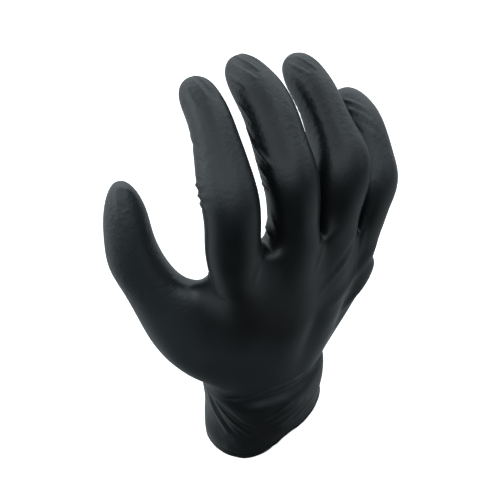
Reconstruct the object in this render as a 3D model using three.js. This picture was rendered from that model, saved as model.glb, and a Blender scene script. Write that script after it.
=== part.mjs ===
// A nitrile exam glove for the right hand, in the form that it has when worn. Millimetres and degrees.
// The origin is the centre of the cuff mouth. +Z runs up the cuff towards the fingers, -Y is the back of the
// hand, -X the thumb side and +X the little finger side. One dip-moulded film with an open cuff is one solid.
import * as THREE from "three";

// Film and rim
const filmWall = 1.1;
const rimBeadRadius = 1.0;

// Cuff and wrist
const mouthBreadth = 61;
const mouthDepth = 54;
const cuffLength = 45;
const wristBreadth = 58;
const wristDepth = 46;
const wristExtension = 20;
const wristDeviation = 13;
const wristShift = 6;
const mouthNotch = 14;
const creaseDepth = 3.2;
const foldHeight = 1.0;

// Palm, measured from the wrist joint to the row of knuckles
const palmLength = 87;
const knuckleSpan = 60;
const knuckleDepth = 29;
const webReach = 21;

// Fingers: knuckle to tip along the bones, and the breadth at the middle joint
const indexLength = 96;
const indexBreadth = 22.8;
const middleLength = 106;
const middleBreadth = 22.2;
const ringLength = 101;
const ringBreadth = 22.5;
const littleLength = 79;
const littleBreadth = 20.5;

// Thumb: its bone inside the palm, then its knuckle to its tip
const thumbBaseLength = 46;
const thumbLength = 70;
const thumbBreadth = 22.5;

// Knuckle places: across as a share of the knuckle span from its middle, palmar as a share of the
// knuckle depth, rise as a share of the palm length. Bends and the sideways spread are in degrees.
const FINGERS = [
  {
    name: "index", length: indexLength, breadth: indexBreadth,
    across: -0.56, palmar: 0.0, rise: 1.0, spread: 0.5, bends: [29, 33, 21],
  },
  {
    name: "middle", length: middleLength, breadth: middleBreadth,
    across: -0.105, palmar: -0.05, rise: 0.98, spread: -3.2, bends: [28, 43, 24],
  },
  {
    name: "ring", length: ringLength, breadth: ringBreadth,
    across: 0.18, palmar: 0.03, rise: 0.93, spread: 8, bends: [28, 43, 23],
  },
  {
    name: "little", length: littleLength, breadth: littleBreadth,
    across: 0.48, palmar: 0.2, rise: 0.87, spread: 9, bends: [22, 41, 25],
  },
];

// Lengths of the three finger bones as shares of the finger's length.
const FINGER_BONES = [0.47, 0.29, 0.24];

// Shares of a finger's breadth: the span of its columns at the knuckle, the swell of the palm's two sides
// there, its breadth and depth where it leaves the web, and how far a joint's bend runs each way.
const knuckleColumnSpan = 0.72;
const indexSideSwell = 0.56;
const littleSideSwell = 0.46;
const webBreadthShare = 0.95;
const webDepthShare = 1.04;
const fingerJointRound = 0.4;

// Depth of the three columns over a knuckle as shares of the half depth there.
const KNUCKLE_ARCH = [0.86, 1.0, 0.86];

// Finger sections past the web: bone and share along it, breadth and depth as shares of the finger's
// breadth, and lift towards the back as a share of it.
const FINGER_SECTIONS = [
  { bone: 0, along: 0.72, wide: 0.91, deep: 0.95, lift: 0.0 },
  { bone: 0, along: 0.95, wide: 0.98, deep: 1.0, lift: 0.0 },
  { bone: 1, along: 0.16, wide: 0.97, deep: 0.98, lift: 0.0 },
  { bone: 1, along: 0.5, wide: 0.86, deep: 0.86, lift: 0.0 },
  { bone: 1, along: 0.88, wide: 0.78, deep: 0.79, lift: 0.0 },
  { bone: 2, along: 0.16, wide: 0.77, deep: 0.77, lift: 0.0 },
  { bone: 2, along: 0.48, wide: 0.74, deep: 0.73, lift: -0.01 },
  { bone: 2, along: 0.76, wide: 0.64, deep: 0.6, lift: -0.02 },
  { bone: 2, along: 0.96, wide: 0.38, deep: 0.34, lift: -0.03 },
];

// Thumb root as shares of the knuckle span, the knuckle depth and the palm length, then its aim.
const THUMB = {
  across: -0.33, palmar: 0.42, rise: 0.16, outward: 41, inward: 10, roll: -50, bends: [0, 20, 24],
};

// Lengths of the two free thumb bones as shares of the thumb's length.
const THUMB_BONES = [0.52, 0.48];
const thumbJointRound = 0.28;
const thumbTipSpread = 0.12;

// Thumb sections: bone 0 is the one inside the palm. Breadth, depth and the shift towards the index finger
// are shares of the thumb's breadth, and the oval's roll is a share of the thumb's. A tilt of 1 turns the
// section all the way into the plane of the palm's side, where the thumb grows out of it.
const THUMB_SECTIONS = [
  { bone: 0, along: 1.0, wide: 1.95, deep: 1.6, side: 0.2, lift: 0.36, roll: 0.1, tilt: 0.9 },
  { bone: 1, along: 0.24, wide: 1.4, deep: 1.2, side: 0.1, lift: 0.14, roll: 0.5, tilt: 0.45 },
  { bone: 1, along: 0.56, wide: 1.08, deep: 1.04, side: 0.02, lift: 0.04, roll: 0.9, tilt: 0.1 },
  { bone: 1, along: 0.92, wide: 1.05, deep: 1.02, side: 0.0, lift: 0.0, roll: 1.0, tilt: 0.0 },
  { bone: 2, along: 0.22, wide: 0.93, deep: 0.9, side: 0.0, lift: 0.0, roll: 1.0, tilt: 0.0 },
  { bone: 2, along: 0.62, wide: 0.8, deep: 0.76, side: 0.0, lift: 0.0, roll: 1.0, tilt: 0.0 },
  { bone: 2, along: 0.93, wide: 0.48, deep: 0.42, side: 0.0, lift: 0.0, roll: 1.0, tilt: 0.0 },
];

// Cuff sections: height as a share of the cuff length, breadth and depth as shares of the mouth's, the
// share of the hand's tilt, and the pinch on the back as a share of the crease depth.
const CUFF_SECTIONS = [
  { height: 0.0, wide: 1.0, deep: 1.0, tilt: 0.0, pinch: 0.0 },
  { height: 0.13, wide: 0.98, deep: 0.98, tilt: 0.0, pinch: 0.0 },
  { height: 0.4, wide: 0.97, deep: 0.95, tilt: 0.05, pinch: 0.1 },
  { height: 0.66, wide: 0.98, deep: 0.93, tilt: 0.15, pinch: 0.0 },
  { height: 0.85, wide: 0.98, deep: 0.92, tilt: 0.3, pinch: -0.2 },
  { height: 0.97, wide: 0.96, deep: 0.88, tilt: 0.45, pinch: 1.0 },
];

// Palm sections: along from the wrist to the knuckles, breadth and depth as shares of the blend of both.
const PALM_SECTIONS = [
  { along: 0.1, wide: 1.03, deep: 1.02 },
  { along: 0.47, wide: 1.04, deep: 1.0 },
  { along: 0.87, wide: 1.0, deep: 0.98 },
];

// Soft mounds and hollows: places as shares of the knuckle span, the knuckle depth and the palm length,
// reach as a share of the knuckle span and push as a share of the knuckle depth.
const MOUNDS = [
  { name: "palm hollow", across: 0.0, palmar: 0.6, rise: 0.55, reach: 0.42, push: -0.14 },
  { name: "heel of the little finger side", across: 0.42, palmar: 0.5, rise: 0.3, reach: 0.4, push: 0.1 },
  { name: "heel of the thumb side", across: -0.55, palmar: 0.3, rise: 0.3, reach: 0.42, push: 0.16 },
];

// Stretched film runs taut over these hollows: places and reach as for the mounds.
const TAUT_ZONES = [
  { name: "thumb web", across: -0.76, palmar: 0.25, rise: 0.86, reach: 0.4 },
];
const tautRounds = 12;

// Soft folds in the slack cuff, each from one place to another: an angle round the cuff, where 180 is the
// thumb side and 270 the back, and a height as a share of the cuff length. The reach is a share of the crease
// depth and the push a share of the fold height.
const CUFF_FOLDS = [
  {
    name: "fan fold by the thumb",
    fromAngle: 205, fromHeight: 0.95, toAngle: 262, toHeight: 0.4,
    reach: 1.9, push: 0.8,
  },
  {
    name: "long slant fold",
    fromAngle: 245, fromHeight: 0.82, toAngle: 325, toHeight: 0.5,
    reach: 2.0, push: 0.7,
  },
  {
    name: "little finger side dent",
    fromAngle: 300, fromHeight: 0.8, toAngle: 350, toHeight: 0.3,
    reach: 2.3, push: -0.8,
  },
  {
    name: "palm side fold",
    fromAngle: 40, fromHeight: 0.8, toAngle: 110, toHeight: 0.4,
    reach: 2.2, push: 0.9,
  },
  {
    name: "palm side dent",
    fromAngle: 70, fromHeight: 0.9, toAngle: 150, toHeight: 0.6,
    reach: 2.2, push: -0.8,
  },
  {
    name: "rim wave by the thumb",
    fromAngle: 190, fromHeight: 0.05, toAngle: 215, toHeight: 0.05,
    reach: 2.8, push: 1.0,
  },
  {
    name: "rim wave on the back",
    fromAngle: 255, fromHeight: 0.05, toAngle: 275, toHeight: 0.1,
    reach: 2.6, push: -0.6,
  },
  {
    name: "rim wave on the palm",
    fromAngle: 80, fromHeight: 0.05, toAngle: 100, toHeight: 0.1,
    reach: 2.8, push: -1.0,
  },
];

const BACK = new THREE.Vector3(0, -1, 0);
const UP = new THREE.Vector3(0, 0, 1);

// The rim's notch: its side, the share of the cuff's length that it fades over, and how much it spreads.
const NOTCH_SIDE = new THREE.Vector3(0.72, -0.69, 0);
const notchFade = 0.6;
const notchPower = 2;

// The wrist joint takes this share of the hand's tilt, and the bead hangs this share of its radius lower.
const wristTiltShare = 0.5;
const beadDrop = 0.4;

const radians = THREE.MathUtils.degToRad;
const smoothstep = THREE.MathUtils.smoothstep;

// A smoothed closed ring shrinks by a share that depends on its point count, which this undoes.
const ringSwell = (count) => 6 / (4 + 2 * Math.cos((2 * Math.PI) / count));

// The wrist joint carries the whole hand.
const hand = new THREE.Object3D();
hand.rotation.order = "YXZ";
hand.position.set(wristShift, 0, cuffLength);
hand.rotation.set(radians(wristExtension), radians(wristDeviation), 0);
hand.updateMatrixWorld(true);

// The place in the hand's frame that a table row names with its shares.
function handPlace({ across, palmar, rise }) {
  return new THREE.Vector3(across * knuckleSpan, palmar * knuckleDepth, rise * palmLength);
}

// A chain of bones that bends in its own plane. The returned function gives the frame at a distance along it.
function boneChain(base, lengths, bends, jointRound) {
  const stepCount = 60;
  const joints = lengths.map((_, bone) => lengths.slice(0, bone).reduce((sum, length) => sum + length, 0));
  const bendShare = (distance, joint) => smoothstep(distance, joint - jointRound, joint + jointRound);
  const bendAt = (distance) =>
    joints.reduce((sum, joint, i) => sum + bends[i] * bendShare(distance, joint), 0);
  return (bone, along) => {
    const distance = joints[bone] + along * lengths[bone];
    const place = new THREE.Vector3();
    for (let step = 0; step < stepCount; step++) {
      const bend = radians(bendAt((distance * (step + 0.5)) / stepCount));
      place.y += (Math.sin(bend) * distance) / stepCount;
      place.z += (Math.cos(bend) * distance) / stepCount;
    }
    const turn = new THREE.Matrix4().makeRotationX(-radians(bendAt(distance)));
    return base.clone().multiply(new THREE.Matrix4().makeTranslation(place)).multiply(turn);
  };
}

// The frame at the root of a finger or the thumb, in the frame of the whole part.
function rootFrame(place, inward, sideways) {
  const root = new THREE.Object3D();
  root.rotation.order = "YXZ";
  root.position.copy(place);
  root.rotation.set(-radians(inward), radians(sideways), 0);
  root.updateMatrix();
  return hand.matrixWorld.clone().multiply(root.matrix);
}

// A ring of points round a frame, anticlockwise about its axis. The roll turns the oval, not the points.
function ovalRing(frame, angles, wide, deep, lift, roll) {
  const swell = ringSwell(angles.length) / 2;
  const turn = radians(roll);
  return angles.map((angle) => {
    const local = radians(angle) - turn;
    const x = wide * swell * Math.cos(local);
    const y = deep * swell * Math.sin(local) + lift;
    const point = new THREE.Vector3(x, y, 0).applyAxisAngle(UP, turn);
    return point.applyMatrix4(frame);
  });
}

const evenAngles = (count, start) => Array.from({ length: count }, (_, i) => start + (360 * i) / count);

// The control cage: points, and four-sided faces that name them.
const cage = { points: [], faces: [] };

function addPoints(points) {
  return points.map((point) => cage.points.push(point) - 1);
}

// Faces between two closed rings, except the columns that the test leaves open.
function joinRings(lower, upper, isOpen = () => false) {
  lower.forEach((_, i) => {
    const next = (i + 1) % lower.length;
    if (!isOpen(i)) cage.faces.push([lower[i], lower[next], upper[next], upper[i]]);
  });
}

// The palm's rings have a point at each side and three for each finger on the back and on the palm.
const columnsPerFinger = 3;
const backCount = FINGERS.length * columnsPerFinger;
const ringCount = 2 * backCount + 2;
const ulnarSide = backCount + 1;
const backPoint = (column) => 1 + column;
const palmPoint = (column) => ringCount - 1 - column;

function cuffRing(row) {
  const turned = new THREE.Object3D();
  turned.position.set(wristShift * row.height, 0, row.height * cuffLength);
  turned.quaternion.slerp(hand.quaternion, row.tilt);
  turned.updateMatrix();
  const ring = ovalRing(
    turned.matrix, evenAngles(ringCount, 180), mouthBreadth * row.wide, mouthDepth * row.deep, 0, 0,
  );
  const back = BACK.clone().applyQuaternion(turned.quaternion);
  return ring.map((point) => {
    const outward = point.clone().sub(turned.position).normalize();
    const facing = Math.max(0, outward.dot(back));
    const notchSpan = Math.max(0, outward.dot(NOTCH_SIDE)) ** notchPower;
    const notched = notchSpan * Math.max(0, 1 - row.height / notchFade);
    point.z += mouthNotch * notched;
    return point.addScaledVector(back, -creaseDepth * row.pinch * facing);
  });
}

function wristRing() {
  const turned = new THREE.Object3D();
  turned.position.copy(hand.position);
  turned.quaternion.slerp(hand.quaternion, wristTiltShare);
  turned.updateMatrix();
  return ovalRing(turned.matrix, evenAngles(ringCount, 180), wristBreadth, wristDepth, 0, 0);
}

const fingerChains = FINGERS.map((finger) => {
  const lengths = FINGER_BONES.map((share) => share * finger.length);
  const root = rootFrame(handPlace(finger), 0, finger.spread);
  return boneChain(root, lengths, finger.bends, finger.breadth * fingerJointRound);
});

// The ring round the knuckles: three points on the back and three on the palm side of each finger.
function knuckleRing() {
  const ring = new Array(ringCount);
  FINGERS.forEach((finger, f) => {
    const frame = fingerChains[f](0, 0);
    const half = finger.breadth / 2;
    KNUCKLE_ARCH.forEach((share, k) => {
      const x = (k - 1) * half * knuckleColumnSpan;
      const column = f * columnsPerFinger + k;
      const depth = (knuckleDepth / 2) * share;
      ring[backPoint(column)] = new THREE.Vector3(x, -depth, 0).applyMatrix4(frame);
      ring[palmPoint(column)] = new THREE.Vector3(x, depth, 0).applyMatrix4(frame);
    });
  });
  const first = FINGERS[0];
  const last = FINGERS[FINGERS.length - 1];
  const lastFrame = fingerChains[FINGERS.length - 1](0, 0);
  ring[0] = new THREE.Vector3(-first.breadth * indexSideSwell, 0, 0).applyMatrix4(fingerChains[0](0, 0));
  ring[ulnarSide] = new THREE.Vector3(last.breadth * littleSideSwell, 0, 0).applyMatrix4(lastFrame);
  return ring;
}

function palmRing(wrist, knuckles, row) {
  const toHand = hand.matrixWorld.clone().invert();
  const ring = wrist.map((point, i) => point.clone().lerp(knuckles[i], row.along).applyMatrix4(toHand));
  const centre = ring.reduce((sum, point) => sum.add(point), new THREE.Vector3()).divideScalar(ring.length);
  return ring.map((point) => {
    const x = centre.x + (point.x - centre.x) * row.wide;
    const y = centre.y + (point.y - centre.y) * row.deep;
    return new THREE.Vector3(x, y, point.z).applyMatrix4(hand.matrixWorld);
  });
}

// Cuff and palm
const thumbRows = [0, 1, 2];
const wrist = wristRing();
const knuckles = knuckleRing();
const cuffRings = CUFF_SECTIONS.map((row) => addPoints(cuffRing(row)));
const palmRings = PALM_SECTIONS.map((row) => addPoints(palmRing(wrist, knuckles, row)));
const knuckleLoop = addPoints(knuckles);

// Where each finger leaves the palm, an eight-point ring that also makes the floor of the webs.
const fingerAngles = evenAngles(8, 225);
const fingerRoots = FINGERS.map((finger, f) => {
  const share = webReach / (FINGER_BONES[0] * finger.length);
  const frame = fingerChains[f](0, share);
  const wide = finger.breadth * webBreadthShare;
  return addPoints(ovalRing(frame, fingerAngles, wide, finger.breadth * webDepthShare, 0, 0));
});
const webLoop = new Array(ringCount);
fingerRoots.forEach((root, f) => {
  for (let k = 0; k < columnsPerFinger; k++) {
    webLoop[backPoint(f * columnsPerFinger + k)] = root[k];
    webLoop[palmPoint(f * columnsPerFinger + k)] = root[6 - k];
  }
});
webLoop[0] = fingerRoots[0][7];
webLoop[ulnarSide] = fingerRoots[FINGERS.length - 1][3];

const thumbColumns = new Set([0, 1, ringCount - 1, ringCount - 2]);
const palmStack = [...cuffRings, ...palmRings, knuckleLoop, webLoop];
const thumbLow = cuffRings.length;
palmStack.slice(0, -1).forEach((ring, level) => {
  const thumbLevel = level === thumbLow || level === thumbLow + 1;
  joinRings(ring, palmStack[level + 1], (i) => thumbLevel && thumbColumns.has(i));
});
for (let f = 0; f < FINGERS.length - 1; f++) {
  const [near, far] = [fingerRoots[f], fingerRoots[f + 1]];
  cage.faces.push([near[2], far[0], far[7], near[3]]);
  cage.faces.push([near[3], far[7], far[6], near[4]]);
}

// Fingers, each closed by four faces round its tip.
FINGERS.forEach((finger, f) => {
  let loop = fingerRoots[f];
  for (const row of FINGER_SECTIONS) {
    const frame = fingerChains[f](row.bone, row.along);
    const wide = finger.breadth * row.wide;
    const deep = finger.breadth * row.deep;
    const next = addPoints(ovalRing(frame, fingerAngles, wide, deep, -row.lift * finger.breadth, 0));
    joinRings(loop, next);
    loop = next;
  }
  const tipFrame = fingerChains[f](2, 1);
  const [tip] = addPoints([new THREE.Vector3(0, 0, 0).applyMatrix4(tipFrame)]);
  for (let k = 0; k < 8; k += 2) {
    cage.faces.push([loop[k], loop[k + 1], tip, loop[(k + 7) % 8]]);
  }
});

// Thumb, grown out of the palm's thumb side between three of its rings.
const [low, middle, high] = thumbRows.map((row) => palmRings[row]);
const sideColumns = [2, 1, 0, ringCount - 1, ringCount - 2];
const thumbRoot = [
  ...sideColumns.map((i) => high[i]),
  middle[sideColumns[4]],
  ...sideColumns.map((i) => low[i]).reverse(),
  middle[sideColumns[0]],
];
const thumbAngles = evenAngles(12, -60);
const thumbLengths = [thumbBaseLength, ...THUMB_BONES.map((share) => share * thumbLength)];
const thumbBase = rootFrame(handPlace(THUMB), THUMB.inward, -THUMB.outward);
const rolledBase = thumbBase.clone().multiply(new THREE.Matrix4().makeRotationZ(radians(THUMB.roll)));
const thumbChain = boneChain(rolledBase, thumbLengths, THUMB.bends, thumbBreadth * thumbJointRound);
let thumbLoop = thumbRoot;
for (const row of THUMB_SECTIONS) {
  const frame = thumbChain(row.bone, row.along);
  const unrolled = frame.multiply(new THREE.Matrix4().makeRotationZ(-radians(THUMB.roll)));
  unrolled.multiply(new THREE.Matrix4().makeRotationY(-row.tilt * radians(90 - THUMB.outward)));
  const shift = new THREE.Vector3(row.side, -row.lift, 0).multiplyScalar(thumbBreadth);
  unrolled.multiply(new THREE.Matrix4().makeTranslation(shift));
  const wide = thumbBreadth * row.wide;
  const deep = thumbBreadth * row.deep;
  const next = addPoints(ovalRing(unrolled, thumbAngles, wide, deep, 0, THUMB.roll * row.roll));
  joinRings(thumbLoop, next);
  thumbLoop = next;
}
const thumbTip = thumbChain(2, 1);
const tipSpread = thumbBreadth * thumbTipSpread;
const tipRow = addPoints(
  [1, 0, -1].map((side) => {
    const sideways = new THREE.Vector3(0, -side * tipSpread, 0);
    return sideways.applyAxisAngle(UP, -radians(THUMB.roll)).applyMatrix4(thumbTip);
  }),
);
const tipGrid = [
  [thumbLoop[0], thumbLoop[1], thumbLoop[2], thumbLoop[3], thumbLoop[4]],
  [thumbLoop[11], ...tipRow, thumbLoop[5]],
  [thumbLoop[10], thumbLoop[9], thumbLoop[8], thumbLoop[7], thumbLoop[6]],
];
for (let r = 0; r < 2; r++) {
  for (let c = 0; c < 4; c++) {
    cage.faces.push([tipGrid[r][c], tipGrid[r][c + 1], tipGrid[r + 1][c + 1], tipGrid[r + 1][c]]);
  }
}

const edgeKey = (a, b) => (a < b ? a + "_" + b : b + "_" + a);

// One round of Catmull-Clark smoothing. Open edges are smoothed along the edge alone.
function subdivide({ points, faces }) {
  const out = faces.map((face) =>
    face.reduce((sum, i) => sum.add(points[i]), new THREE.Vector3()).divideScalar(face.length),
  );
  const facePoint = out.map((_, i) => i);
  const edges = new Map();
  faces.forEach((face, f) => {
    face.forEach((a, k) => {
      const b = face[(k + 1) % face.length];
      const key = edgeKey(a, b);
      const edge = edges.get(key) ?? { ends: [a, b], faces: [] };
      edge.faces.push(f);
      edges.set(key, edge);
    });
  });
  const around = points.map(() => ({ edges: [], faces: new Set() }));
  for (const edge of edges.values()) {
    const [a, b] = edge.ends;
    const middlePoint = points[a].clone().add(points[b]).multiplyScalar(0.5);
    edge.middle = middlePoint;
    edge.open = edge.faces.length === 1;
    const made = middlePoint.clone();
    if (!edge.open) {
      const beside = out[edge.faces[0]].clone().add(out[edge.faces[1]]).multiplyScalar(0.5);
      made.add(beside).multiplyScalar(0.5);
    }
    edge.index = out.push(made) - 1;
    for (const end of edge.ends) {
      around[end].edges.push(edge);
      edge.faces.forEach((f) => around[end].faces.add(f));
    }
  }
  const moved = new Map();
  points.forEach((point, i) => {
    const { edges: mine, faces: beside } = around[i];
    if (!beside.size) return;
    const open = mine.filter((edge) => edge.open);
    const made = new THREE.Vector3();
    if (open.length) {
      open.forEach((edge) => made.addScaledVector(edge.middle, 0.25));
      made.addScaledVector(point, 0.5);
    } else {
      const n = mine.length;
      beside.forEach((f) => made.addScaledVector(out[f], 1 / (n * n)));
      mine.forEach((edge) => made.addScaledVector(edge.middle, 2 / (n * n)));
      made.addScaledVector(point, (n - 3) / n);
    }
    moved.set(i, out.push(made) - 1);
  });
  const quads = [];
  faces.forEach((face, f) => {
    face.forEach((corner, k) => {
      const before = face[(k + face.length - 1) % face.length];
      const after = face[(k + 1) % face.length];
      const edgePoint = (a, b) => edges.get(edgeKey(a, b)).index;
      quads.push([moved.get(corner), edgePoint(corner, after), facePoint[f], edgePoint(before, corner)]);
    });
  });
  return { points: out, faces: quads };
}

// The normal at each point, from the faces round it.
function normalsOf({ points, faces }) {
  const normals = points.map(() => new THREE.Vector3());
  for (const [a, b, c, d] of faces) {
    const across = points[c].clone().sub(points[a]);
    const normal = across.cross(points[d].clone().sub(points[b]));
    [a, b, c, d].forEach((i) => normals[i].add(normal));
  }
  return normals.map((normal) => normal.normalize());
}

function pushMounds(skin) {
  const normals = normalsOf(skin);
  const toHand = hand.matrixWorld.clone().invert();
  const places = MOUNDS.map((mound) => ({ centre: handPlace(mound), ...mound }));
  skin.points.forEach((point, i) => {
    const local = point.clone().applyMatrix4(toHand);
    const push = places.reduce((sum, { centre, reach, push }) => {
      const near = local.distanceTo(centre) / (reach * knuckleSpan);
      return sum + push * knuckleDepth * Math.exp(-near * near);
    }, 0);
    point.addScaledVector(normals[i], push);
  });
}

// Draws each point of a taut zone towards the middle of its neighbours.
function pullTaut(skin) {
  const toHand = hand.matrixWorld.clone().invert();
  const places = TAUT_ZONES.map((zone) => ({ centre: handPlace(zone), reach: zone.reach * knuckleSpan }));
  const shares = skin.points.map((point) => {
    const local = point.clone().applyMatrix4(toHand);
    const near = places.map(({ centre, reach }) => Math.exp(-((local.distanceTo(centre) / reach) ** 4)));
    return 0.5 * Math.max(...near);
  });
  const neighbours = skin.points.map(() => new Set());
  skin.faces.forEach((face) => {
    face.forEach((a, k) => {
      const b = face[(k + 1) % face.length];
      neighbours[a].add(b);
      neighbours[b].add(a);
    });
  });
  for (let round = 0; round < tautRounds; round++) {
    const before = skin.points.map((point) => point.clone());
    skin.points.forEach((point, i) => {
      const middle = new THREE.Vector3();
      neighbours[i].forEach((n) => middle.addScaledVector(before[n], 1 / neighbours[i].size));
      point.lerp(middle, shares[i]);
    });
  }
}

// The cuff as a flat map: the way round its mean width, and the height.
function foldCuff(skin) {
  const normals = normalsOf(skin);
  const meanRadius = (mouthBreadth + mouthDepth) / 4;
  const mapPlace = (angle, height) => new THREE.Vector2(radians(angle) * meanRadius, height * cuffLength);
  const folds = CUFF_FOLDS.map((fold) => ({
    from: mapPlace(fold.fromAngle, fold.fromHeight), to: mapPlace(fold.toAngle, fold.toHeight), ...fold,
  }));
  skin.points.forEach((point, i) => {
    const height = point.z / cuffLength;
    if (height > 1.1) return;
    const angle = Math.atan2(point.y, point.x - wristShift * height);
    const place = mapPlace(THREE.MathUtils.radToDeg(angle < 0 ? angle + 2 * Math.PI : angle), height);
    const push = folds.reduce((sum, { from, to, reach, push }) => {
      const run = to.clone().sub(from);
      const share = THREE.MathUtils.clamp(place.clone().sub(from).dot(run) / run.lengthSq(), 0, 1);
      const near = place.distanceTo(from.clone().addScaledVector(run, share)) / (reach * creaseDepth);
      return sum + push * foldHeight * Math.exp(-near * near);
    }, 0);
    point.addScaledVector(normals[i], push);
  });
}

const outer = subdivide(cage);
pullTaut(outer);
pushMounds(outer);
foldCuff(outer);

// The inner skin lies one wall inside the outer one.
const outerNormals = normalsOf(outer);
const inner = outer.points.map((point, i) => point.clone().addScaledVector(outerNormals[i], -filmWall));

// The open edge of the cuff, in order round the mouth.
function openLoop({ faces }) {
  const after = new Map();
  const seen = new Set();
  faces.forEach((face) => face.forEach((a, k) => seen.add(a + "_" + face[(k + 1) % face.length])));
  faces.forEach((face) =>
    face.forEach((a, k) => {
      const b = face[(k + 1) % face.length];
      if (!seen.has(b + "_" + a)) after.set(a, b);
    }),
  );
  const loop = [after.keys().next().value];
  while (after.get(loop[loop.length - 1]) !== loop[0]) loop.push(after.get(loop[loop.length - 1]));
  return loop;
}

const positions = [];
const triangles = [];
const addVertex = (point) => positions.push(point.x, point.y, point.z) / 3 - 1;
const addQuad = (a, b, c, d) => triangles.push(a, b, c, a, c, d);

outer.points.forEach(addVertex);
inner.forEach(addVertex);
const innerStart = outer.points.length;
for (const [a, b, c, d] of outer.faces) {
  addQuad(a, b, c, d);
  addQuad(innerStart + d, innerStart + c, innerStart + b, innerStart + a);
}

// The rolled rim: half a turn of bead from the outer skin to the inner one.
const rimLoop = openLoop(outer);
const beadSteps = 4;
let beadFrom = rimLoop;
for (let step = 1; step <= beadSteps; step++) {
  const turn = (Math.PI * (step - 0.5)) / beadSteps;
  const to =
    step === beadSteps
      ? rimLoop.map((i) => innerStart + i)
      : rimLoop.map((i) => {
          const heart = outer.points[i].clone().add(inner[i]).multiplyScalar(0.5);
          heart.addScaledVector(outerNormals[i], rimBeadRadius * Math.cos(turn));
          heart.z -= rimBeadRadius * (beadDrop + Math.sin(turn));
          return addVertex(heart);
        });
  beadFrom.forEach((_, k) => {
    const next = (k + 1) % beadFrom.length;
    addQuad(beadFrom[next], beadFrom[k], to[k], to[next]);
  });
  beadFrom = to;
}

const gloveGeometry = new THREE.BufferGeometry();
gloveGeometry.setAttribute("position", new THREE.Float32BufferAttribute(positions, 3));
gloveGeometry.setIndex(triangles);
gloveGeometry.computeVertexNormals();

const blackNitrile = new THREE.MeshStandardMaterial({ color: 0x17181a, roughness: 0.45, metalness: 0 });
const gloveShell = new THREE.Mesh(gloveGeometry, blackNitrile);
gloveShell.name = "glove_shell";

const glove = new THREE.Group();
glove.name = "nitrile_exam_glove";
glove.add(gloveShell);

export default glove;
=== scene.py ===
"""Worn nitrile exam glove for the right hand, on a plain pale studio floor. In metres, in the part's frame."""

import logging
import math
from dataclasses import dataclass
from enum import Enum

import bmesh
import bpy
import numpy as np
from mathutils import Matrix, Vector, noise


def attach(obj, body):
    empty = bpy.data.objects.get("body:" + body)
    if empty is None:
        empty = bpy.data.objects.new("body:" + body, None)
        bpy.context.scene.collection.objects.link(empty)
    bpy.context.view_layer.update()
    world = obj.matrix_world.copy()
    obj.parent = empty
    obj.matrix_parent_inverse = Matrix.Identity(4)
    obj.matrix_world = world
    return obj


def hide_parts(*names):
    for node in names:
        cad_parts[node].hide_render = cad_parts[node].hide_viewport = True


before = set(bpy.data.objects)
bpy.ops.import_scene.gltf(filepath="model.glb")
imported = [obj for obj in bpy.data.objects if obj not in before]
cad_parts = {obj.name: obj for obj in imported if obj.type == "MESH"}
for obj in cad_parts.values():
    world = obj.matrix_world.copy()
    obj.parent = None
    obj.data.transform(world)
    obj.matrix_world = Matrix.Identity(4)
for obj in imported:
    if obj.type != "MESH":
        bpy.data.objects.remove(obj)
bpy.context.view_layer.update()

logging.basicConfig(level=logging.INFO, format="%(message)s")
log = logging.getLogger("glove")

MM = 0.001
# The cuff's mean radius in millimetres
CUFF_RADIUS = 28.0
# A digit's radius as a share of its breadth
DIGIT_RADIUS_SHARE = 0.47
# How much higher the folds stand than their table says
FOLD_GAIN = 1.35
# How much higher the pleats on the larger fingertips stand than their first heights
PLEAT_GAIN = 1.45


class Skin(Enum):
    """Which side of the film a piece shows."""

    OUTER = "outer"
    INNER = "inner"


class Zone(Enum):
    """Flat maps of the glove that folds are placed on.

    A digit's map is the share along it and the angle round it, 0 on its back and 90 towards the little
    finger. The cuff's map is the angle round it, 180 on the thumb side and 270 on the back, and the share of
    its height.
    The back's and the palm's maps are millimetres across and up from the wrist joint.
    """

    INDEX = "index"
    MIDDLE = "middle"
    RING = "ring"
    LITTLE = "little"
    THUMB = "thumb"
    CUFF = "cuff"
    BACK = "back"
    PALM = "palm"


# The form under the film, in the part's own sizes: millimetres, and the bones as shares of a digit's length

PALM_LENGTH = 87
KNUCKLE_SPAN = 60
KNUCKLE_DEPTH = 29
FINGER_BONES = (0.47, 0.29, 0.24)
THUMB_BASE_LENGTH = 46
THUMB_LENGTH = 70
THUMB_BONES = (0.52, 0.48)


@dataclass(frozen=True)
class HandFrame:
    """The wrist joint, which carries the hand.

    Args:
        shift: sideways place of the joint in millimetres.
        rise: height of the joint above the cuff's mouth in millimetres.
        extension: backward bend in degrees.
        deviation: bend towards the little finger in degrees.
    """

    shift: float = 6.0
    rise: float = 45.0
    extension: float = 20.0
    deviation: float = 13.0

    def matrix(self) -> Matrix:
        """Returns the hand's frame in millimetres."""
        sideways = Matrix.Rotation(math.radians(self.deviation), 4, "Y")
        backwards = Matrix.Rotation(math.radians(self.extension), 4, "X")
        return Matrix.Translation((self.shift, 0, self.rise)) @ (sideways @ backwards)


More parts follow.
